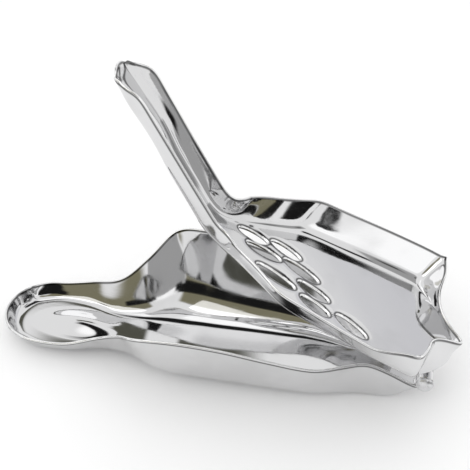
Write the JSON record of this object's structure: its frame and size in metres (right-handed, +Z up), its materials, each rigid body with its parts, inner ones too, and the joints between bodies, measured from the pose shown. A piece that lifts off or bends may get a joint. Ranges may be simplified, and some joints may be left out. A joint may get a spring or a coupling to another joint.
{
  "type": "hinged lemon squeezer",
  "caption": "Hand-held citrus squeezer of pressed sheet: a deep scoop and a slotted press tray with channel handles, on one hinge pin.",
  "frame": {"origin": "on the flat underside of the scoop's body, at the middle of its length, where the tool stands on a table", "axes": "+X from the handles towards the hinge, +Y along the hinge pin, +Z up from the table"},
  "size_m": [0.1801, 0.0701, 0.1209],
  "materials": {
    "scoop_steel": "mirror polished stainless sheet",
    "tray_steel": "mirror polished stainless sheet",
    "pin_steel": "satin turned stainless"
  },
  "bodies": {
    "lower": {"scoop": "scoop_steel", "hinge_pin": "pin_steel"},
    "upper": {"press_tray": "tray_steel"}
  },
  "joints": [
    {"name": "hinge", "type": "hinge", "parent": "lower", "child": "upper", "pos_m": [0.066, 0, 0.0125], "axis": [0, 1, 0], "range_deg": [-16, 74]}
  ]
}
